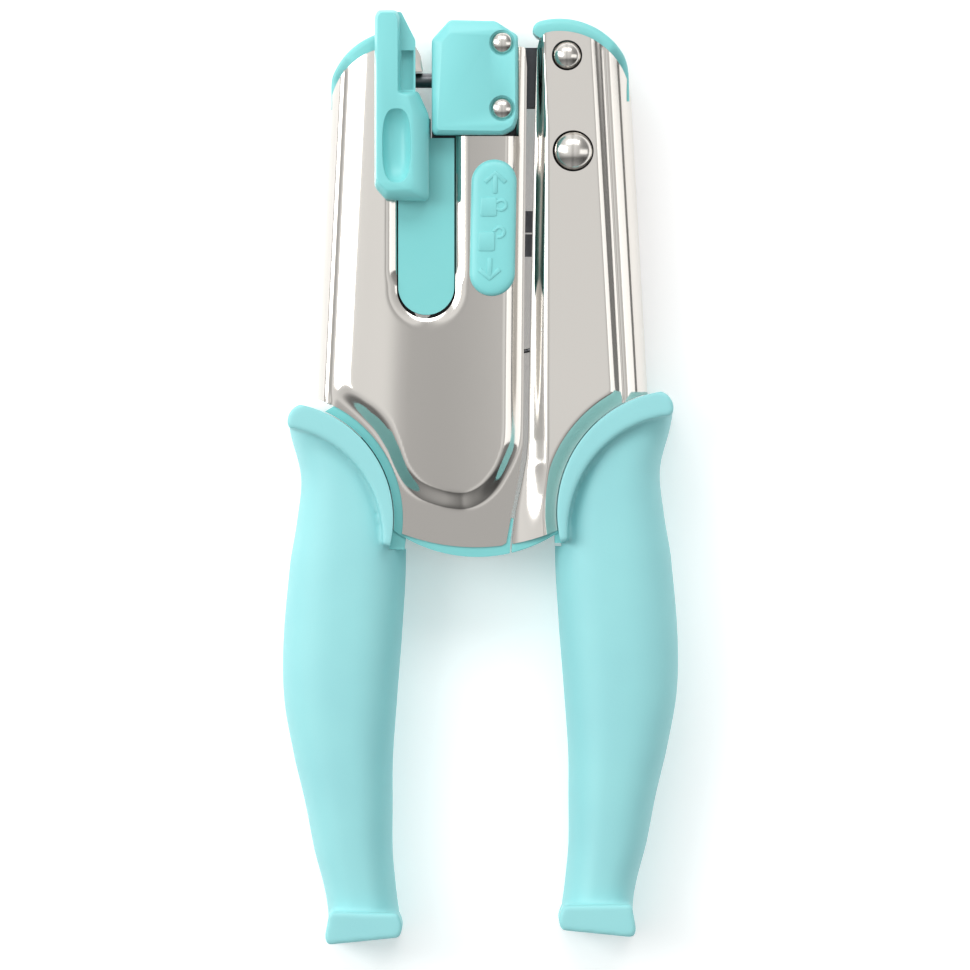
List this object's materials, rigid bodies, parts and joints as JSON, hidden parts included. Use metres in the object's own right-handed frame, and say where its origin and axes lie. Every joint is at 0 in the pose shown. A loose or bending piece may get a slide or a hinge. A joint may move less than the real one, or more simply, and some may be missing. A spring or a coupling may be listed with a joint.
{
  "type": "craft hole punch",
  "caption": "Hand-held reach punch with steel covers, moulded grips, a sliding paper depth stop and a handle lock.",
  "frame": {"origin": "centre of the tool in plan, on the surface its back lies on", "axes": "+Z out of the front, +Y towards the jaws, +X towards the lever side"},
  "size_m": [0.0848, 0.1996, 0.0309],
  "materials": {
    "bright_steel": "polished nickel-plated stamped steel",
    "teal_gloss": "moulded ABS, light texture",
    "teal_core": "moulded ABS",
    "soft_grip": "soft-touch moulding",
    "dark_steel": "blanked steel plate, oiled",
    "tool_steel": "ground tool steel",
    "rivet_steel": "nickel-plated steel",
    "spring_steel": "spring steel",
    "bush_brass": "sintered bronze"
  },
  "bodies": {
    "frame": {"left_front_cover": "bright_steel", "left_back_cover": "bright_steel", "chassis": "teal_core", "frame_plate_front": "dark_steel", "frame_plate_back": "dark_steel", "frame_spacers": "tool_steel", "frame_rivets": "rivet_steel", "left_grip": "soft_grip", "punch_housing_front": "teal_gloss", "punch_housing_back": "teal_gloss", "housing_rivets": "rivet_steel", "punch_guide": "tool_steel", "die_holder": "bright_steel", "die_button": "tool_steel", "die_rivets": "rivet_steel", "left_cover_screws": "rivet_steel", "return_spring": "spring_steel", "lock_detent_spring": "spring_steel", "stop_friction_spring": "spring_steel", "pivot_bushes": "bush_brass"},
    "lever": {"right_front_cover": "bright_steel", "right_back_cover": "bright_steel", "spine": "teal_core", "lever_plate_front": "dark_steel", "lever_plate_back": "dark_steel", "lever_spacers": "tool_steel", "lever_rivets": "rivet_steel", "right_grip": "soft_grip", "pivot_rivet": "rivet_steel", "drive_rivet": "rivet_steel", "drive_bush": "tool_steel", "lock_catch": "tool_steel", "right_cover_screws": "rivet_steel"},
    "ram": {"ram": "tool_steel", "punch_tip": "tool_steel", "punch_pin": "spring_steel"},
    "lock": {"lock_button": "teal_gloss", "lock_bolt": "tool_steel", "lock_screw": "rivet_steel"},
    "depth_stop": {"depth_stop_bar": "teal_core", "thumb_slide": "teal_gloss", "stop_keeper": "dark_steel", "keeper_screws": "rivet_steel"}
  },
  "joints": [
    {"name": "handle_hinge", "type": "hinge", "parent": "frame", "child": "lever", "pos_m": [0.0185, 0.0905, 0.013], "axis": [0, 0, 1], "range_deg": [0, 13]},
    {"name": "ram_slide", "type": "slide", "parent": "frame", "child": "ram", "axis": [1, 0, 0], "range_m": [0, 0.0047]},
    {"name": "lock_slide", "type": "slide", "parent": "frame", "child": "lock", "axis": [0, 1, 0], "range_m": [0, 0.004]},
    {"name": "stop_slide", "type": "slide", "parent": "frame", "child": "depth_stop", "axis": [0, -1, 0], "range_m": [0, 0.024]}
  ],
  "couplings": [
    {"joint": "ram_slide", "follows": "handle_hinge", "m_per_rad": 0.0202}
  ]
}
